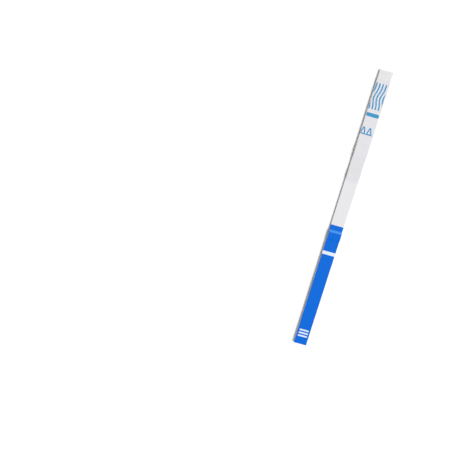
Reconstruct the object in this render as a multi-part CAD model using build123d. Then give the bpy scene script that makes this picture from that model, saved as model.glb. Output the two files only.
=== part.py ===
from build123d import *
from dataclasses import dataclass, replace
from math import acos, cos, degrees, radians, sin
import os

# Lateral flow dip strip, in millimetres.
# Seven layers are laminated on a plastic card and cut to one width, so their long sides are flush.
# Each flexible layer lies flat on what is under it and climbs or falls in a smooth ramp at every step.
# X runs along the strip, from the dip end to the handle end, and Z rises out of the printed face.
# The origin is the centre of the card's underside.

# The card under the whole strip
strip_length = 85.0
strip_width = 4.0
card_thickness = 0.38

# Sample pad, from the dip end
sample_pad_length = 24.6
sample_pad_thickness = 0.34

# Conjugate pad, under the end of the sample pad
conjugate_pad_length = 8.5
conjugate_pad_thickness = 0.20
sample_pad_overlap = 1.8

# Membrane, under the end of the conjugate pad
membrane_length = 20.0
membrane_thickness = 0.20
conjugate_pad_overlap = 1.2

# Absorbent pad, from the end of the membrane to the handle end
absorbent_pad_thickness = 0.42
absorbent_pad_overlap = 1.15

# White film over the sample and conjugate pads
dip_tape_thickness = 0.07
bare_tip_length = 2.5
dip_tape_hold = 0.5

# Blue film over the absorbent pad
handle_tape_thickness = 0.07
handle_tape_hold = 1.2

# Steepest slope of each kind of layer, in degrees, and the tightest bend on the inside of a ramp
pad_slope = 14.0
dip_tape_slope = 18.0
handle_tape_slope = 38.0
least_bend = 0.15


@dataclass
class Ramp:
    """A smooth step in a flexible layer: two arcs that turn by the same angle, one each way.

    The radii are those of the layer's underside, and a rise below zero is a fall.
    """

    start: float
    rise: float
    turn: float
    first_radius: float
    second_radius: float

    @property
    def run(self):
        return (self.first_radius + self.second_radius) * sin(radians(self.turn))

    @property
    def end(self):
        return self.start + self.run

    def lifted(self, thickness):
        """The same ramp on the upper face of a layer: its arcs keep their centres."""
        growth = -thickness if self.rise > 0 else thickness
        return replace(
            self,
            first_radius=self.first_radius + growth,
            second_radius=self.second_radius - growth,
        )


def plan_ramp(rise, slope, stack_thickness):
    """A ramp of a given rise, as steep as its slope allows, round enough for the layers that bend with it."""
    height = abs(rise)
    radius = max(height / (2 * (1 - cos(radians(slope)))), stack_thickness + least_bend)
    turn = degrees(acos(1 - height / (2 * radius)))
    return Ramp(0.0, rise, turn, radius, radius)


def ramp_from(start, rise, slope, stack_thickness):
    return replace(plan_ramp(rise, slope, stack_thickness), start=start)


def ramp_up_to(end, rise, slope, stack_thickness):
    ramp = plan_ramp(rise, slope, stack_thickness)
    return replace(ramp, start=end - ramp.run)


def face_line(start, end, level, ramps):
    """The line of one face of a layer: level runs joined by its ramps."""
    edges = []
    point = Vector(start, level)
    for ramp in ramps:
        way = 1 if ramp.rise > 0 else -1
        level_run = Line(point, (ramp.start, point.Y))
        first_arc = JernArc(level_run @ 1, (1, 0), ramp.first_radius, way * ramp.turn)
        second_arc = JernArc(first_arc @ 1, first_arc % 1, ramp.second_radius, -way * ramp.turn)
        edges += [level_run, first_arc, second_arc]
        point = second_arc @ 1
    edges.append(Line(point, (end, point.Y)))
    return edges


def layer(start, end, level, thickness, ramps=()):
    """A layer as wide as the strip, from start to end along it, whose underside starts at a level."""
    underside = face_line(start, end, level, ramps)
    upper_face = face_line(start, end, level + thickness, [ramp.lifted(thickness) for ramp in ramps])
    near_end = Line(underside[0] @ 0, upper_face[0] @ 0)
    far_end = Line(underside[-1] @ 1, upper_face[-1] @ 1)
    section = make_face([*underside, far_end, *upper_face, near_end])
    return extrude(Plane.XZ * section, amount=strip_width / 2, both=True)


# Where the layers start and end along the strip
dip_end = -strip_length / 2
handle_end = strip_length / 2
sample_pad_end = dip_end + sample_pad_length
conjugate_pad_start = sample_pad_end - sample_pad_overlap
conjugate_pad_end = conjugate_pad_start + conjugate_pad_length
membrane_start = conjugate_pad_end - conjugate_pad_overlap
membrane_end = membrane_start + membrane_length
absorbent_pad_start = membrane_end - absorbent_pad_overlap

# Levels that the layers lie on
card_top = card_thickness
membrane_top = card_top + membrane_thickness
sample_pad_top = card_top + sample_pad_thickness

# Card and membrane, which lie flat
backing_card = layer(dip_end, handle_end, 0.0, card_thickness)
membrane = layer(membrane_start, membrane_end, card_top, membrane_thickness)

# Conjugate pad: it climbs from the card onto the membrane
conjugate_stack = conjugate_pad_thickness + dip_tape_thickness
conjugate_climb = ramp_up_to(membrane_start, membrane_thickness, pad_slope, conjugate_stack)
conjugate_pad = layer(
    conjugate_pad_start, conjugate_pad_end, card_top, conjugate_pad_thickness, [conjugate_climb]
)

# Sample pad: it climbs from the card onto the conjugate pad
sample_stack = sample_pad_thickness + dip_tape_thickness
sample_climb = ramp_up_to(conjugate_pad_start, conjugate_pad_thickness, pad_slope, sample_stack)
sample_pad = layer(dip_end, sample_pad_end, card_top, sample_pad_thickness, [sample_climb])

# Absorbent pad: it falls from the membrane onto the card
absorbent_stack = absorbent_pad_thickness + handle_tape_thickness
absorbent_fall = ramp_from(membrane_end, -membrane_thickness, pad_slope, absorbent_stack)
absorbent_pad = layer(
    absorbent_pad_start, handle_end, membrane_top, absorbent_pad_thickness, [absorbent_fall]
)

# White film: it follows the two pads and falls off the end of each, last onto the membrane
sample_pad_drop = ramp_from(sample_pad_end, -sample_pad_thickness, dip_tape_slope, dip_tape_thickness)
conjugate_pad_drop = ramp_from(
    conjugate_pad_end, -conjugate_pad_thickness, dip_tape_slope, dip_tape_thickness
)
dip_tape = layer(
    dip_end + bare_tip_length,
    conjugate_pad_drop.end + dip_tape_hold,
    sample_pad_top,
    dip_tape_thickness,
    [
        sample_climb.lifted(sample_pad_thickness),
        sample_pad_drop,
        conjugate_climb.lifted(conjugate_pad_thickness),
        conjugate_pad_drop,
    ],
)

# Blue film: it is stuck to the membrane, climbs onto the absorbent pad and follows it to the handle end
handle_tape_climb = ramp_up_to(
    absorbent_pad_start, absorbent_pad_thickness, handle_tape_slope, handle_tape_thickness
)
handle_tape = layer(
    handle_tape_climb.start - handle_tape_hold,
    handle_end,
    membrane_top,
    handle_tape_thickness,
    [handle_tape_climb, absorbent_fall.lifted(absorbent_pad_thickness)],
)

pieces = {
    "backing_card": backing_card,
    "membrane": membrane,
    "conjugate_pad": conjugate_pad,
    "sample_pad": sample_pad,
    "absorbent_pad": absorbent_pad,
    "dip_tape": dip_tape,
    "handle_tape": handle_tape,
}

os.makedirs("parts", exist_ok=True)
for name, solid in pieces.items():
    export_step(solid, f"parts/{name}.step")
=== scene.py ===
import math
import random

import bmesh
import bpy
from mathutils import Matrix, Vector


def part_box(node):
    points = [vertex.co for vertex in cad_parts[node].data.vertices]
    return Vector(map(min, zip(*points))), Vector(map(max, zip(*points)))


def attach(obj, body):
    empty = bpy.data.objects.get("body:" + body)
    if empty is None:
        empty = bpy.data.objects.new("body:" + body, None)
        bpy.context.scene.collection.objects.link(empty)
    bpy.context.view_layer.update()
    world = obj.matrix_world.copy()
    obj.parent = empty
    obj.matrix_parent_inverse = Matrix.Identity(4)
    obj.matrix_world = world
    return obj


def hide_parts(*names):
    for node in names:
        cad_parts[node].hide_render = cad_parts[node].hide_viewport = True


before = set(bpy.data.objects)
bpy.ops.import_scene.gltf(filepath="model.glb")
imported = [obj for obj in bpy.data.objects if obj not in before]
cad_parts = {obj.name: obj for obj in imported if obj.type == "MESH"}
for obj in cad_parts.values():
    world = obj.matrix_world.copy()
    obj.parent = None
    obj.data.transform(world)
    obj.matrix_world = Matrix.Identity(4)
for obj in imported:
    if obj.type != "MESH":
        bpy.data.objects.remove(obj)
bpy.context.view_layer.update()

# Backing card: a stiff white vinyl sheet with adhesive on its upper face, which carries every other layer.
# It is calendered, so its faces have a fine even grain. The blade that cuts the strips out of the master
# card rolls its edges over a little and leaves them with upright scores.
mm = 0.001
crease_angle = math.radians(40)
upright_below = 0.5
square_on_above = 0.999
card_edge_roll = 0.03
card_edge_segments = 3
card_white = (0.78, 0.78, 0.77, 1)
# The upright cut sides are painted greyer than the faces, as painted shade: the vinyl is white throughout.
card_cut_painted_shade = (0.52, 0.52, 0.515, 1)
card_mottle = (0.70, 0.70, 0.69, 1)
card_mottle_size = (6, 2, 2)
card_mottle_from = 0.3
card_mottle_share = 0.5
card_grain_size = (0.35, 0.12, 0.12)
card_score_size = (0.04, 0.04, 0.6)
card_relief = 0.006
card_gloss = 0.4
card_roughness = 0.42
card_grain_roughness = 0.1
card_cut_roughness = 0.2


def layer_box(node):
    """The lowest and highest corner of a packed layer, in millimetres."""
    low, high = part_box(node)
    return low / mm, high / mm


def hold(piece):
    """Selects one piece alone and makes it the active one."""
    bpy.ops.object.select_all(action="DESELECT")
    piece.select_set(True)
    bpy.context.view_layer.objects.active = piece


def new_piece(name):
    """Names the primitive that was just added and puts its place into its mesh."""
    piece = bpy.context.object
    piece.name = name
    piece.data.name = name
    bpy.ops.object.transform_apply(location=True, rotation=True, scale=True)
    return piece


def pick(piece, kind, test):
    """In edit mode, selects the vertices, edges or faces of a piece that pass a test."""
    bpy.ops.mesh.select_mode(type=kind)
    bpy.ops.mesh.select_all(action="DESELECT")
    shape = bmesh.from_edit_mesh(piece.data)
    for part in {"VERT": shape.verts, "EDGE": shape.edges, "FACE": shape.faces}[kind]:
        if test(part):
            part.select_set(True)
    shape.select_flush_mode()
    bmesh.update_edit_mesh(piece.data)


def hold_flat(piece, test, margin):
    """In edit mode, insets the faces that pass a test, so that smooth shading turns only at their rims."""
    pick(piece, "FACE", test)
    bpy.ops.mesh.inset(thickness=margin, use_individual=True)


def modify(piece, kind, **settings):
    """Adds a modifier to a piece and applies it."""
    hold(piece)
    modifier = piece.modifiers.new(kind.lower(), kind)
    for name, value in settings.items():
        setattr(modifier, name, value)
    bpy.ops.object.modifier_apply(modifier=modifier.name)


def bring_to_metres(piece):
    """Scales a piece that was modelled in millimetres to the frame's metres, about the frame's origin."""
    hold(piece)
    piece.scale = (mm, mm, mm)
    bpy.ops.object.transform_apply(location=True, rotation=True, scale=True)


class Value:
    """A number, colour or vector that changes over a surface. Operators on numbers add Math nodes."""

    def __init__(self, finish, socket):
        self.finish = finish
        self.socket = socket

    def add_math(self, operation, first, second=0.0):
        return self.finish.node("Math", {"operation": operation}, {0: first, 1: second})

    def __add__(self, other):
        return self.add_math("ADD", self, other)

    def __radd__(self, other):
        return self.add_math("ADD", other, self)

    def __sub__(self, other):
        return self.add_math("SUBTRACT", self, other)

    def __rsub__(self, other):
        return self.add_math("SUBTRACT", other, self)

    def __mul__(self, other):
        return self.add_math("MULTIPLY", self, other)

    def __rmul__(self, other):
        return self.add_math("MULTIPLY", other, self)

    def __abs__(self):
        return self.add_math("ABSOLUTE", self)

    def __gt__(self, other):
        return self.add_math("GREATER_THAN", self, other)

    def __lt__(self, other):
        return self.add_math("LESS_THAN", self, other)

    def at_least(self, other):
        return self.add_math("MAXIMUM", self, other)

    def at_most(self, other):
        return self.add_math("MINIMUM", self, other)


class Finish:
    """The nodes of one material or of the world, and the shader that they feed."""

    def __init__(self, owner, shader, constants):
        owner.use_nodes = True
        self.owner = owner
        self.tree = owner.node_tree
        self.shader = self.tree.nodes[shader]
        self.feed(self.shader, constants)

    def feed(self, node, sockets):
        """Gives a node's sockets their even values, or links them to values that change over the surface."""
        for name, value in sockets.items():
            if isinstance(value, Value):
                self.tree.links.new(value.socket, node.inputs[name])
            else:
                node.inputs[name].default_value = value

    def node(self, kind, settings=None, sockets=None, output=0):
        """Adds a node with its settings and its sockets' values or links, and returns one of its outputs."""
        node = self.tree.nodes.new("ShaderNode" + kind)
        for name, value in (settings or {}).items():
            setattr(node, name, value)
        self.feed(node, sockets or {})
        return Value(self, node.outputs[output])

    def place(self, axis):
        """Where a point lies along one axis of the frame, in millimetres."""
        place = self.node("TexCoord", output="Object")
        return self.node("SeparateXYZ", sockets={0: place}, output=axis) * (1 / mm)

    def facing(self, axis):
        """How squarely a surface faces along one axis of the frame, either way."""
        normal = self.node("TexCoord", output="Normal")
        return abs(self.node("SeparateXYZ", sockets={0: normal}, output=axis))

    def grain(self, size, detail=2.0, turn=0.0):
        """Noise with grains of a size along X, Y and Z, in millimetres, turned about Z."""
        place = self.node("TexCoord", output="Object")
        mapping = {"Vector": place, "Rotation": (0, 0, turn), "Scale": [length * mm for length in size]}
        grain_place = self.node("Mapping", {"vector_type": "TEXTURE"}, mapping)
        return self.node("TexNoise", sockets={"Vector": grain_place, "Scale": 1.0, "Detail": detail})

    def mix(self, share, first, second):
        """A blend of two colours."""
        return self.node("Mix", {"data_type": "RGBA"}, {0: share, 6: first, 7: second}, output=2)

    def bump(self, height, depth):
        """A normal for a relief whose height runs from 0 to 1 over a depth in millimetres."""
        return self.node("Bump", sockets={"Height": height, "Distance": depth * mm})


def new_finish(name, **constants):
    """A new material with its shader's even values set, their names spelt with underscores."""
    sockets = {socket.replace("_", " "): value for socket, value in constants.items()}
    return Finish(bpy.data.materials.new(name), "Principled BSDF", sockets)


def vinyl_card():
    """White vinyl: grained and faintly mottled on its faces, rougher and scored where it is cut, and greyer
    there as painted shade.
    """
    finish = new_finish("vinyl_card", Specular_IOR_Level=card_gloss)
    cut = finish.facing("Z") < upright_below
    grain = finish.grain(card_grain_size)
    mottle = finish.grain(card_mottle_size)
    scores = finish.grain(card_score_size)
    white = finish.mix(cut, card_white, card_cut_painted_shade)
    relief = grain * (1 - cut) + scores * cut
    finish.feed(finish.shader, {
        "Base Color": finish.mix((mottle - card_mottle_from) * card_mottle_share, white, card_mottle),
        "Roughness": card_roughness + grain * card_grain_roughness + cut * card_cut_roughness,
        "Normal": finish.bump(relief, card_relief),
    })
    return finish.owner


low, high = layer_box("backing_card")
bpy.ops.object.select_all(action="DESELECT")
bpy.ops.mesh.primitive_cube_add(size=1, location=(low + high) / 2, scale=high - low)
card = new_piece("card")
bpy.ops.object.mode_set(mode="EDIT")
bpy.ops.mesh.select_all(action="SELECT")
bpy.ops.mesh.bevel(offset=card_edge_roll, segments=card_edge_segments, affect="EDGES")
hold_flat(card, lambda face: max(abs(way) for way in face.normal) > square_on_above, card_edge_roll)
bpy.ops.object.mode_set(mode="OBJECT")
bpy.ops.object.shade_smooth_by_angle(angle=crease_angle)
bring_to_metres(card)
card.data.materials.append(vinyl_card())
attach(card, "root")
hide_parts("backing_card")


# Membrane: nitrocellulose cast as a porous, matt white coat on a clear polyester film, stuck to the card.
# Its middle is the bare reading window, with fine pores and faint streaks along the casting direction. At
# the cut sides the brittle coat breaks back a little and shows the smoother film below it, painted dark grey,
# partly for the clear film's own look and partly as painted shade.
membrane_film_thickness = 0.10
coat_set_back = 0.012
coat_edge_roll = 0.015
coat_edge_segments = 2
membrane_white = (0.80, 0.79, 0.805, 1)
membrane_streak = (0.765, 0.757, 0.766, 1)
# The film's dark grey is partly the clear film's own look and partly painted shade on the cut sides.
membrane_film_grey_shade = (0.30, 0.31, 0.33, 1)
streak_size = (9, 0.18, 0.18)
streak_from = 0.35
streak_share = 0.8
membrane_cloud_size = (1.6, 1.2, 1.2)
membrane_cloud_from = 0.45
membrane_cloud_share = 0.4
pore_size = (0.05, 0.05, 0.05)
pore_detail = 3
pore_relief_share = 0.7
coat_relief = 0.008
membrane_gloss = 0.2
membrane_film_roughness = 0.35
coat_roughness = 0.45
pore_roughness = 0.2


def cast_membrane(coat_foot):
    """A matt white coat with pores, streaks and faint clouds, and below its foot the smoother film, grey
    partly as painted shade.
    """
    finish = new_finish("cast_membrane", Specular_IOR_Level=membrane_gloss)
    coat = finish.place("Z") > coat_foot
    streaks = finish.grain(streak_size)
    pores = finish.grain(pore_size, detail=pore_detail)
    clouds = finish.grain(membrane_cloud_size)
    streaked = finish.mix((streaks - streak_from) * streak_share, membrane_white, membrane_streak)
    clouded = finish.mix((clouds - membrane_cloud_from) * membrane_cloud_share, streaked, membrane_streak)
    relief = pores * pore_relief_share + streaks * (1 - pore_relief_share)
    finish.feed(finish.shader, {
        "Base Color": finish.mix(coat, membrane_film_grey_shade, clouded),
        "Roughness": membrane_film_roughness + coat * (coat_roughness + pores * pore_roughness),
        "Normal": finish.bump(relief, coat_relief),
    })
    return finish.owner


low, high = layer_box("membrane")
film_corner = Vector((high.x, high.y, low.z + membrane_film_thickness))
coat_rim = high.z - coat_edge_roll / 2
bpy.ops.object.select_all(action="DESELECT")
bpy.ops.mesh.primitive_cube_add(size=1, location=(low + film_corner) / 2, scale=film_corner - low)
membrane = new_piece("membrane_sheet")
bpy.ops.object.mode_set(mode="EDIT")
pick(membrane, "FACE", lambda face: face.normal.z > square_on_above)
bpy.ops.mesh.inset(thickness=coat_set_back)
bpy.ops.mesh.extrude_region_move(TRANSFORM_OT_translate={"value": (0, 0, high.z - film_corner.z)})
bpy.ops.mesh.bevel(offset=coat_edge_roll, segments=coat_edge_segments, affect="EDGES")
hold_flat(membrane, lambda face: face.calc_center_median().z > coat_rim, coat_edge_roll)
bpy.ops.object.mode_set(mode="OBJECT")
bpy.ops.object.shade_smooth_by_angle(angle=crease_angle)
bring_to_metres(membrane)
membrane.data.materials.append(cast_membrane(film_corner.z + coat_set_back))
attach(membrane, "root")
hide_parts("membrane")


# Conjugate pad: a thin mat of glass fibres, one end on the card and the other on the membrane.
# The fibres lie flat, crossed at all angles and bound by nothing but their tangle, so the faces are felted
# and the cut sides show as fine layers. The dried reagent tints it faintly pink.
weld_gap = 0.001
conjugate_voxel = 0.06
conjugate_felt_size = 0.22
conjugate_felt_depth = 0.035
felt_octaves = 2
conjugate_white = (0.80, 0.70, 0.71, 1)
# The hollows between the strands are painted darker, as painted shade.
conjugate_hollow_shade = (0.66, 0.53, 0.55, 1)
glass_fibre_length = 1.4
glass_fibre_width = 0.045
grain_middle = 0.5
fibre_turns = (10, 48, 95, 140)
fibre_detail = 1.0
fibre_sharpness = 9
fibre_share = 0.6
felt_cloud_size = (0.9, 0.9, 0.3)
felt_cloud_share = 0.6
felt_relief = 0.02
felt_gloss = 0.25
felt_sheen = 0.15
felt_roughness = 0.95
fibre_smoothness = 0.15


def layer_copy(name, node):
    """A copy of a packed layer's solid, welded and in millimetres."""
    piece = bpy.data.objects.new(name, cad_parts[node].data.copy())
    bpy.context.scene.collection.objects.link(piece)
    piece.data.name = name
    piece.data.materials.clear()
    hold(piece)
    bpy.ops.mesh.customdata_custom_splitnormals_clear()
    piece.scale = (1 / mm, 1 / mm, 1 / mm)
    bpy.ops.object.transform_apply(location=True, rotation=True, scale=True)
    bpy.ops.object.mode_set(mode="EDIT")
    bpy.ops.mesh.select_all(action="SELECT")
    bpy.ops.mesh.remove_doubles(threshold=weld_gap)
    bpy.ops.object.mode_set(mode="OBJECT")
    return piece


def felted_pad(name, node, voxel, felt_size, felt_depth):
    """A pad in a packed layer's shape, with soft edges and a felted skin that is sunk into the shape."""
    pad = layer_copy(name, node)
    modify(pad, "REMESH", mode="VOXEL", voxel_size=voxel)
    felt = bpy.data.textures.new(name, "CLOUDS")
    felt.noise_scale = felt_size
    felt.noise_depth = felt_octaves
    modify(pad, "DISPLACE", texture=felt, texture_coords="LOCAL", strength=felt_depth, mid_level=1.0)
    bpy.ops.object.shade_smooth()
    bring_to_metres(pad)
    return pad


def fibre_felt(name, pale, hollow_shade, length, width):
    """A felt of fibres of a length and a width: thin pale strands at several angles over hollows in painted
    shade.
    """
    finish = new_finish(name, Specular_IOR_Level=felt_gloss, Sheen_Weight=felt_sheen)
    strands = None
    for turn in fibre_turns:
        grain = finish.grain((length, width, width), detail=fibre_detail, turn=math.radians(turn))
        strand = (1 - abs(grain - grain_middle) * fibre_sharpness).at_least(0)
        strands = strand if strands is None else strands.at_least(strand)
    clouds = finish.grain(felt_cloud_size)
    paleness = (strands * fibre_share + clouds * felt_cloud_share).at_most(1)
    finish.feed(finish.shader, {
        "Base Color": finish.mix(paleness, hollow_shade, pale),
        "Roughness": felt_roughness - strands * fibre_smoothness,
        "Normal": finish.bump(strands, felt_relief),
    })
    return finish.owner


conjugate = felted_pad(
    "conjugate_felt", "conjugate_pad", conjugate_voxel, conjugate_felt_size, conjugate_felt_depth
)
conjugate.data.materials.append(
    fibre_felt("glass_felt", conjugate_white, conjugate_hollow_shade, glass_fibre_length, glass_fibre_width)
)
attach(conjugate, "root")
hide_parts("conjugate_pad")


# Sample pad: a soft cellulose paper that takes up the liquid at the dip end, where its tip is left bare.
# It is wet laid from fibres longer and flatter than those of the conjugate pad, and the cut leaves its
# edges soft.
sample_voxel = 0.07
sample_felt_size = 0.30
sample_felt_depth = 0.03
sample_white = (0.82, 0.82, 0.815, 1)
# The hollows between the strands are painted darker, as painted shade.
sample_hollow_shade = (0.76, 0.76, 0.75, 1)
cellulose_fibre_length = 1.8
cellulose_fibre_width = 0.06

sample = felted_pad("sample_paper", "sample_pad", sample_voxel, sample_felt_size, sample_felt_depth)
sample.data.materials.append(
    fibre_felt("cellulose_felt", sample_white, sample_hollow_shade, cellulose_fibre_length, cellulose_fibre_width)
)
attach(sample, "root")
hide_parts("sample_pad")


# Loose fibres of the sample pad: single cellulose strands that stand out of the felt where no film holds
# them down. Most lie flat on the bare tip, and some stick out of the cut at the very end.
strand_radius = 0.007
strand_sides = 4
strand_bend_radius = 0.9
strand_turn = math.radians(55)
strand_steps = 5
strand_half = strand_bend_radius * math.sin(strand_turn / 2)
strand_seed = 7
lying_strands = 90
lying_depth = (0.005, 0.03)
lying_tilt = 0.03
end_strands = 60
end_reach = (-0.1, 0.16)
end_fan = 0.5
end_tilt = 0.15
end_margin = 0.08
end_tolerance = 0.01
strand_white = (0.90, 0.90, 0.885, 1)
strand_gloss = 0.2
strand_sheen = 0.3
strand_roughness = 0.6


def top_at(node, x):
    """How high a packed layer's upper face is at one of its two ends, in millimetres."""
    corners = [vertex.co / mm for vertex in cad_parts[node].data.vertices]
    return max(corner.z for corner in corners if abs(corner.x - x) < end_tolerance)


def strand_copy(strand, place, turn, tilt):
    """A copy of a strand with its own mesh, tilted and then turned about its middle, at a place."""
    copy = strand.copy()
    copy.data = strand.data.copy()
    bpy.context.scene.collection.objects.link(copy)
    copy.matrix_world = (
        Matrix.Translation(place) @ Matrix.Rotation(turn, 4, "Z") @ Matrix.Rotation(tilt, 4, "Y")
    )
    return copy


def loose_fibre():
    """A single fibre: pale and a little silky."""
    finish = new_finish(
        "loose_fibre", Base_Color=strand_white, Roughness=strand_roughness,
        Specular_IOR_Level=strand_gloss, Sheen_Weight=strand_sheen,
    )
    return finish.owner


bpy.ops.object.select_all(action="DESELECT")
bpy.ops.mesh.primitive_circle_add(vertices=strand_sides, radius=strand_radius, rotation=(0, math.pi / 2, 0))
strand = new_piece("tip_strands")
bpy.ops.object.mode_set(mode="EDIT")
bpy.ops.mesh.select_all(action="SELECT")
bpy.ops.mesh.spin(
    steps=strand_steps, angle=strand_turn, center=(0, strand_bend_radius, 0), axis=(0, 0, 1)
)
bpy.ops.mesh.select_all(action="SELECT")
bpy.ops.mesh.fill_holes(sides=strand_sides)
bpy.ops.mesh.select_all(action="SELECT")
bpy.ops.mesh.normals_make_consistent(inside=False)
bpy.ops.object.mode_set(mode="OBJECT")
strand.rotation_euler.z = strand_turn / 2
strand.location.x = strand_half
bpy.ops.object.transform_apply(location=True, rotation=True, scale=True)

low, high = layer_box("sample_pad")
tip_top = top_at("sample_pad", low.x)
tip_end = layer_box("dip_tape")[0].x
draw = random.Random(strand_seed)
copies = []
for _ in range(lying_strands):
    place = Vector((
        draw.uniform(low.x + strand_half, tip_end),
        draw.uniform(low.y + strand_half, high.y - strand_half),
        tip_top - draw.uniform(*lying_depth),
    ))
    turn = draw.uniform(0, math.tau)
    copies.append(strand_copy(strand, place, turn, draw.uniform(-lying_tilt, lying_tilt)))
for _ in range(end_strands):
    turn = draw.uniform(-end_fan, end_fan)
    place = Vector((
        low.x + strand_half * math.cos(turn) - draw.uniform(*end_reach),
        draw.uniform(low.y + strand_half / 2, high.y - strand_half / 2),
        draw.uniform(low.z + end_margin, tip_top - end_margin),
    ))
    copies.append(strand_copy(strand, place, turn, draw.uniform(-end_tilt, end_tilt)))
bpy.data.objects.remove(strand)
hold(copies[0])
for copy in copies:
    copy.select_set(True)
bpy.ops.object.join()
strands = new_piece("tip_strands")
bpy.ops.object.shade_smooth()
bring_to_metres(strands)
strands.data.materials.append(loose_fibre())
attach(strands, "root")


# Absorbent pad: thick blotting paper of cotton linters that draws the liquid along and makes up the handle.
# It is the coarsest and warmest of the papers, and only its cut sides and end show under the blue film.
absorbent_voxel = 0.08
absorbent_felt_size = 0.34
absorbent_felt_depth = 0.045
absorbent_white = (0.80, 0.785, 0.75, 1)
# The hollows between the strands are painted darker, as painted shade.
absorbent_hollow_shade = (0.64, 0.62, 0.58, 1)
cotton_fibre_length = 2.2
cotton_fibre_width = 0.08

absorbent = felted_pad(
    "blotting_paper", "absorbent_pad", absorbent_voxel, absorbent_felt_size, absorbent_felt_depth
)
absorbent.data.materials.append(
    fibre_felt("cotton_felt", absorbent_white, absorbent_hollow_shade, cotton_fibre_length, cotton_fibre_width)
)
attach(absorbent, "root")
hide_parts("absorbent_pad")


# Dip tape: a thin white polyester film with adhesive below, laid over the sample and conjugate pads.
# It sags a little into the felt, falls over the end of each pad and is stuck to the membrane. Its satin
# face carries the print, and the tint of the conjugate pad shows faintly through it.
film_step = 0.06
film_rows = 20
film_drop = 1.0
film_trim = 0.002
film_sag_size = 0.9
film_sag = 0.006
film_edge_roll = 0.012
film_edge_segments = 2
film_edge_angle = math.radians(60)
dip_film_thickness = 0.07
dip_white = (0.742, 0.740, 0.769, 1)
dip_white_low = (0.712, 0.710, 0.735, 1)
dip_white_tinted = (0.716, 0.712, 0.732, 1)
tint_fade = 1.5
cockle_size = (1.4, 1.0, 1.0)
cockle_from = 0.3
cockle_share = 0.9
show_through_size = (0.35, 0.2, 0.2)
show_through_detail = 3
show_through_share = 0.6
film_relief = 0.01
film_roughness_swing = 0.14
dip_film_gloss = 0.3
dip_film_roughness = 0.65


def draped_film(name, node, thickness):
    """A film over a packed layer's shape: a fine sheet dropped onto it, sagged and given its thickness."""
    low, high = layer_box(node)
    length = high.x - low.x - 2 * film_trim
    width = high.y - low.y - 2 * film_trim
    bed = layer_copy(name + "_bed", node)
    bpy.ops.object.select_all(action="DESELECT")
    bpy.ops.mesh.primitive_grid_add(
        x_subdivisions=round(length / film_step), y_subdivisions=film_rows, size=1
    )
    bpy.ops.transform.resize(value=(length, width, 1))
    bpy.ops.transform.translate(value=((low.x + high.x) / 2, (low.y + high.y) / 2, high.z + film_drop))
    film = new_piece(name)
    modify(
        film, "SHRINKWRAP", target=bed, wrap_method="PROJECT", use_project_z=True,
        use_positive_direction=False, use_negative_direction=True,
    )
    bpy.data.objects.remove(bed)
    sag = bpy.data.textures.new(name, "CLOUDS")
    sag.noise_scale = film_sag_size
    modify(film, "DISPLACE", texture=sag, texture_coords="LOCAL", strength=film_sag, mid_level=1.0)
    modify(film, "SOLIDIFY", thickness=thickness, offset=-1, use_even_offset=True)
    modify(
        film, "BEVEL", width=film_edge_roll, segments=film_edge_segments, limit_method="ANGLE",
        angle_limit=film_edge_angle,
    )
    bpy.ops.object.shade_smooth_by_angle(angle=crease_angle)
    bring_to_metres(film)
    return film


def satin_film(finish, colour, low_colour, roughness):
    """Gives a film a satin face over the cockle and the fibres of the paper below, and returns its colour."""
    cockle = finish.grain(cockle_size)
    felt = finish.grain(show_through_size, detail=show_through_detail)
    relief = felt * show_through_share + cockle * (1 - show_through_share)
    finish.feed(finish.shader, {
        "Roughness": roughness + (felt - grain_middle) * film_roughness_swing,
        "Normal": finish.bump(relief, film_relief),
    })
    return finish.mix((cockle - cockle_from) * cockle_share, colour, low_colour)


def stretch(finish, start, rise, end, fall):
    """1 along a stretch of the strip, which it reaches over a rise from its start and leaves over a fall."""
    place = finish.place("X")
    rising = (place - start) * (1 / rise)
    falling = (end - place) * (1 / fall)
    return rising.at_most(falling).at_least(0).at_most(1)


def white_film(tint_start, tint_end):
    """White film with a tint that shows through it along a stretch of the strip."""
    finish = new_finish("white_film", Specular_IOR_Level=dip_film_gloss)
    plain = satin_film(finish, dip_white, dip_white_low, dip_film_roughness)
    tinted = stretch(finish, tint_start, tint_fade, tint_end, tint_fade)
    finish.feed(finish.shader, {"Base Color": finish.mix(tinted, plain, dip_white_tinted)})
    return finish.owner


dip_film = draped_film("dip_film", "dip_tape", dip_film_thickness)
tint_start = layer_box("sample_pad")[1].x + tint_fade / 2
tint_end = layer_box("conjugate_pad")[1].x + tint_fade / 2
dip_film.data.materials.append(white_film(tint_start, tint_end))
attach(dip_film, "root")
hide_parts("dip_tape")


# Waves on the dip tape: one coat of blue ink, screened on before the master card is cut into strips.
# They say how deep to dip. Their places are distances from the dip end and from the middle line, and the
# outer waves are cut off by the narrow margin that the print leaves bare along each side.
ink_height = 0.015
ink_foot = film_sag
ink_shoulder = 0.008
ink_shoulder_segments = 2
left_margin = 0.07
right_margin = 0.30
wave_start = 3.79
wave_end = 11.30
wave_count = 5
wave_pitch = 0.938
wave_first = -1.9
wave_width = 0.41
wave_swing = 0.29
wave_crest_flat = 0.105
wave_period = 8.72
wave_trough = 8.01
wave_lean = -0.0125
wave_steps = 32
ink_blue = (0.018, 0.256, 0.516, 1)
ink_blue_thin = (0.054, 0.315, 0.562, 1)
ink_coat_size = (0.5, 0.5, 0.5)
ink_coat_detail = 3
ink_thin_from = 0.45
ink_thin_share = 1.2
ink_tooth_size = (0.06, 0.06, 0.06)
ink_tooth_share = 0.3
ink_relief = 0.004
ink_gloss = 0.3
ink_roughness = 0.45
ink_tooth_roughness = 0.2


def repeat_print(piece, count, step):
    """Repeats a flat shape by a step along X, Y and Z, each copy with its own mesh, and joins the row."""
    row = [piece]
    for number in range(1, count):
        copy = piece.copy()
        copy.data = piece.data.copy()
        copy.location = Vector(step) * number
        bpy.context.scene.collection.objects.link(copy)
        row.append(copy)
    hold(piece)
    for copy in row:
        copy.select_set(True)
    bpy.ops.object.join()


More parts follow.
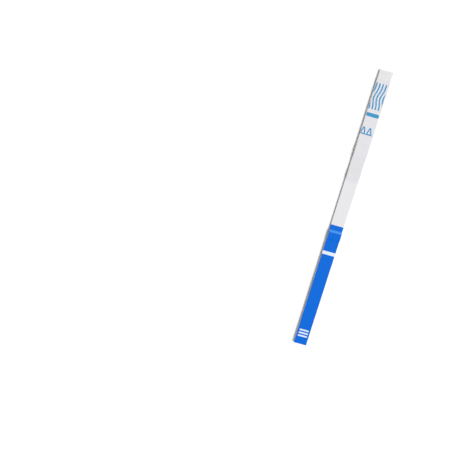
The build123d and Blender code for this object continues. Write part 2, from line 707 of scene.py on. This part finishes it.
def ink_on(piece, film_top, left, right):
    """Makes a flat shape at height 0 a coat of ink on a film, cut off at two places across the strip."""
    rim_height = film_top + ink_height - ink_shoulder / 2

    def on_rim(edge):
        is_high = all(vertex.co.z > rim_height for vertex in edge.verts)
        return is_high and any(abs(face.normal.z) < upright_below for face in edge.link_faces)

    hold(piece)
    bpy.ops.object.mode_set(mode="EDIT")
    bpy.ops.mesh.select_all(action="SELECT")
    bpy.ops.mesh.extrude_region_move(TRANSFORM_OT_translate={"value": (0, 0, ink_foot + ink_height)})
    bpy.ops.mesh.select_all(action="SELECT")
    bpy.ops.mesh.normals_make_consistent(inside=False)
    bpy.ops.transform.translate(value=(0, 0, film_top - ink_foot))
    for place, way in ((left, -1), (right, 1)):
        bpy.ops.mesh.select_all(action="SELECT")
        bpy.ops.mesh.bisect(plane_co=(0, place, 0), plane_no=(0, way, 0), use_fill=True, clear_outer=True)
    pick(piece, "EDGE", on_rim)
    bpy.ops.mesh.bevel(
        offset=ink_shoulder, segments=ink_shoulder_segments, affect="EDGES", clamp_overlap=True
    )
    bpy.ops.object.mode_set(mode="OBJECT")
    bring_to_metres(piece)


def screen_ink(name, full, thin):
    """Ink from a screen: slightly thinner in places, with the screen's fine even tooth."""
    finish = new_finish(name, Specular_IOR_Level=ink_gloss)
    coat = finish.grain(ink_coat_size, detail=ink_coat_detail)
    tooth = finish.grain(ink_tooth_size)
    thinness = (coat - ink_thin_from) * ink_thin_share + (tooth - grain_middle) * ink_tooth_share
    finish.feed(finish.shader, {
        "Base Color": finish.mix(thinness.at_least(0), full, thin),
        "Roughness": ink_roughness + tooth * ink_tooth_roughness,
        "Normal": finish.bump(tooth, ink_relief),
    })
    return finish.owner


def wave_offset(distance):
    """How far a wave with broad crests lies from its middle line at a distance from the dip end."""
    turn = math.tau * (distance - wave_trough) / wave_period
    swing = wave_swing * math.cos(turn) + wave_crest_flat * math.cos(2 * turn)
    return wave_lean * (distance - wave_trough) - swing


strip_low, strip_high = layer_box("backing_card")
dip_end = strip_low.x
side = strip_high.y
print_left = left_margin - side
print_right = side - right_margin
dip_film_top = top_at("dip_tape", tip_end)
blue_ink = screen_ink("blue_ink", ink_blue, ink_blue_thin)

wave_step = (wave_end - wave_start) / wave_steps
plane_middle = dip_end + wave_start + wave_width / 2
bpy.ops.object.select_all(action="DESELECT")
bpy.ops.mesh.primitive_plane_add(size=wave_width)
bpy.ops.transform.translate(value=(plane_middle, wave_first + wave_offset(wave_start), 0))
waves = new_piece("wave_print")
bpy.ops.object.mode_set(mode="EDIT")
pick(waves, "VERT", lambda vertex: vertex.co.x > plane_middle)
bpy.ops.mesh.delete(type="VERT")
bpy.ops.mesh.select_all(action="SELECT")
for number in range(wave_steps):
    distance = wave_start + number * wave_step
    rise = wave_offset(distance + wave_step) - wave_offset(distance)
    bpy.ops.mesh.extrude_region_move(TRANSFORM_OT_translate={"value": (wave_step, rise, 0)})
bpy.ops.object.mode_set(mode="OBJECT")
repeat_print(waves, wave_count, (0, wave_pitch, 0))
ink_on(waves, dip_film_top, print_left, print_right)
waves.data.materials.append(blue_ink)
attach(waves, "root")


# Fill bar on the dip tape: a broad line with round corners, in the same coat of blue ink as the waves.
# The liquid has to stay below it.
bar_start = 12.36
bar_end = 13.45
bar_right_margin = 0.17
bar_round = 0.4
bar_round_segments = 6


def flat_bar(name, start, end, left, right):
    """A flat bar at height 0, between two distances from the dip end and two places across the strip."""
    bpy.ops.object.select_all(action="DESELECT")
    bpy.ops.mesh.primitive_plane_add(size=1)
    bpy.ops.transform.resize(value=(end - start, right - left, 1))
    bpy.ops.transform.translate(value=(dip_end + (start + end) / 2, (left + right) / 2, 0))
    return new_piece(name)


def round_corners(piece, radius, segments):
    """Rounds the corners of a flat bar."""
    hold(piece)
    bpy.ops.object.mode_set(mode="EDIT")
    bpy.ops.mesh.select_all(action="SELECT")
    bpy.ops.mesh.bevel(offset=radius, segments=segments, affect="VERTICES")
    bpy.ops.object.mode_set(mode="OBJECT")


bar_right = side - bar_right_margin
fill_bar = flat_bar("fill_bar", bar_start, bar_end, print_left, bar_right)
round_corners(fill_bar, bar_round, bar_round_segments)
ink_on(fill_bar, dip_film_top, print_left, bar_right)
fill_bar.data.materials.append(blue_ink)
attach(fill_bar, "root")


# Arrows on the dip tape: outlined triangles with blunt points, in the same coat of blue ink as the waves.
# They point to the end that goes into the liquid. The row is wider than the strip, so the margins cut off
# the outer ones.
arrow_point = 15.61
arrow_tip = 16.53
arrow_base = 18.71
arrow_width = 1.78
arrow_stroke = 0.36
arrow_first = -1.34
arrow_pitch = 1.86
arrow_count = 3

bpy.ops.object.select_all(action="DESELECT")
bpy.ops.mesh.primitive_circle_add(vertices=3, radius=1, fill_type="NGON", rotation=(0, 0, math.pi / 2))
arrows = new_piece("arrow_print")
corners = [vertex.co for vertex in arrows.data.vertices]
circle_point = min(corner.x for corner in corners)
circle_base = max(corner.x for corner in corners)
circle_width = 2 * max(corner.y for corner in corners)
arrow_stretch = (arrow_base - arrow_point) / (circle_base - circle_point)
arrow_middle = dip_end + arrow_point - circle_point * arrow_stretch
bpy.ops.object.mode_set(mode="EDIT")
bpy.ops.mesh.select_all(action="SELECT")
bpy.ops.transform.resize(
    value=(arrow_stretch, arrow_width / circle_width, 1), center_override=(0, 0, 0)
)
bpy.ops.transform.translate(value=(arrow_middle, arrow_first, 0))
bpy.ops.mesh.inset(thickness=arrow_stroke)
bpy.ops.mesh.delete(type="FACE")
bpy.ops.mesh.select_all(action="SELECT")
bpy.ops.mesh.bisect(plane_co=(dip_end + arrow_tip, 0, 0), plane_no=(1, 0, 0), clear_inner=True)
bpy.ops.object.mode_set(mode="OBJECT")
repeat_print(arrows, arrow_count, (0, arrow_pitch, 0))
ink_on(arrows, dip_film_top, print_left, print_right)
arrows.data.materials.append(blue_ink)
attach(arrows, "root")


# Handle tape: the same kind of film dyed blue, over the absorbent pad, which tells the end to hold.
# Its first stretch is stuck to the membrane, and from there it climbs steeply onto the pad. Where it spans
# the step, air is left below it, so that it shines more, and its blue is painted paler there, partly for
# the film over air and partly as a painted highlight.
handle_film_thickness = 0.07
handle_blue = (0.002, 0.147, 0.70, 1)
handle_blue_low = (0.001, 0.127, 0.64, 1)
# The paler blue over the step is partly the film over air and partly a painted highlight.
handle_blue_span_highlight = (0.072, 0.35, 0.96, 1)
handle_film_gloss = 0.04
handle_film_roughness = 0.5
span_lead = 0.08
span_swell = 0.62
span_fade = 0.4
span_shine = 0.8
span_shine_roughness = 0.15


def blue_film(span_end):
    """Blue film, shinier along the stretch that spans the step, and painted paler there as a highlight."""
    finish = new_finish(
        "blue_film", Specular_IOR_Level=handle_film_gloss, Coat_Roughness=span_shine_roughness
    )
    stuck = satin_film(finish, handle_blue, handle_blue_low, handle_film_roughness)
    span_start = span_end - span_fade - span_swell
    span_stretch = stretch(finish, span_start, span_swell, span_end, span_fade)
    finish.feed(finish.shader, {
        "Base Color": finish.mix(span_stretch, stuck, handle_blue_span_highlight),
        "Coat Weight": span_stretch * span_shine,
    })
    return finish.owner


handle_film = draped_film("handle_film", "handle_tape", handle_film_thickness)
handle_film.data.materials.append(blue_film(layer_box("absorbent_pad")[0].x - span_lead))
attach(handle_film, "root")
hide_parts("handle_tape")


# Dry line on the handle tape: a band of white ink, screened on before the cut, so it runs from side to side.
# It marks where the dry end begins. The ink hides the blue but for a faint tint.
line_start = 54.7
line_end = 55.76
ink_white = (0.72, 0.815, 0.895, 1)
ink_white_thin = (0.575, 0.70, 0.855, 1)

print_cut = side - film_trim - film_edge_roll
handle_film_top = top_at("handle_tape", strip_high.x)
white_ink = screen_ink("white_ink", ink_white, ink_white_thin)

dry_line = flat_bar("dry_line", line_start, line_end, -side, side)
ink_on(dry_line, handle_film_top, -print_cut, print_cut)
dry_line.data.materials.append(white_ink)
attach(dry_line, "root")


# Grip bars on the handle tape: three short bars with round corners, in the same coat of white ink.
# They lie near the handle's end and show where to hold the strip.
grip_bar_first = 80.45
grip_bar_pitch = 0.95
grip_bar_count = 3
grip_bar_width = 0.5
grip_bar_length = 3.0
grip_bar_round = 0.22
grip_bar_round_segments = 5

grip_bars = flat_bar(
    "grip_bars", grip_bar_first - grip_bar_width / 2, grip_bar_first + grip_bar_width / 2,
    -grip_bar_length / 2, grip_bar_length / 2,
)
round_corners(grip_bars, grip_bar_round, grip_bar_round_segments)
repeat_print(grip_bars, grip_bar_count, (grip_bar_pitch, 0, 0))
ink_on(grip_bars, handle_film_top, -print_cut, print_cut)
grip_bars.data.materials.append(white_ink)
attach(grip_bars, "root")


# Stage: a pale floor under a plain white sky, and one soft lamp from beyond the strip's right side.
# The floor reads white and keeps the shadow, and the strip's left side is in the shade.
floor_size = 4.0
floor_drop = 0.00002
floor_white = 0.95
floor_glow = 0.05
sky_level = 0.25
key_level = 0.78
key_heading = math.radians(90)
key_lean = math.radians(25)
key_spread = math.radians(32)


def seen(finish):
    """1 where the camera, a reflection or a clear piece looks, and 0 where light is only gathered."""
    looks = 0
    for ray in ("Is Camera Ray", "Is Glossy Ray", "Is Transmission Ray"):
        looks = looks + finish.node("LightPath", output=ray)
    return looks.at_most(1)


bpy.ops.object.select_all(action="DESELECT")
bpy.ops.mesh.primitive_plane_add(size=floor_size, location=(0, 0, -floor_drop))
floor = new_piece("floor")
floor_paint = new_finish(
    "floor_paint", Base_Color=(floor_white,) * 3 + (1,), Roughness=1.0, Specular_IOR_Level=0.0,
    Emission_Strength=1.0,
)
glow = floor_paint.mix(seen(floor_paint), (0, 0, 0, 1), (floor_glow,) * 3 + (1,))
floor_paint.feed(floor_paint.shader, {"Emission Color": glow})
floor.data.materials.append(floor_paint.owner)

sky = Finish(bpy.data.worlds.new("sky"), "Background", {"Color": (1, 1, 1, 1)})
sky.feed(sky.shader, {"Strength": sky_level + seen(sky) * (1 - sky_level)})
bpy.context.scene.world = sky.owner

key_direction = Vector((
    math.sin(key_lean) * math.cos(key_heading), math.sin(key_lean) * math.sin(key_heading), math.cos(key_lean)
))
bpy.ops.object.light_add(type="SUN", location=key_direction)
key = bpy.context.object
key.name = "key_lamp"
key.data.angle = key_spread
key.data.energy = key_level * math.pi / math.cos(key_lean)
key.rotation_euler = key_direction.to_track_quat("Z", "Y").to_euler()


# Camera: it looks down on the strip from beyond its left side, turned so that the dip end points up.
# Its place, aim and turn are fitted to the strip's corners and to the marks along it.
camera_place = Vector((-4.56, -37.69, 130.65)) * mm
camera_aim = Vector((12.95, -32.52, 0)) * mm
camera_turn = math.radians(15.7)
camera_lens = 35
camera_near = mm
camera_far = 10

camera_back = (camera_place - camera_aim).normalized()
picture_up = Vector((-math.cos(camera_turn), -math.sin(camera_turn), 0))
camera_right = picture_up.cross(camera_back).normalized()
camera_up = camera_back.cross(camera_right)
bpy.ops.object.camera_add()
camera = bpy.context.object
camera.name = "camera"
camera.matrix_world = Matrix.Translation(camera_place) @ Matrix(
    (camera_right, camera_up, camera_back)
).transposed().to_4x4()
camera.data.lens = camera_lens
camera.data.clip_start = camera_near
camera.data.clip_end = camera_far
bpy.context.scene.camera = camera
bpy.context.scene.view_settings.view_transform = "Standard"
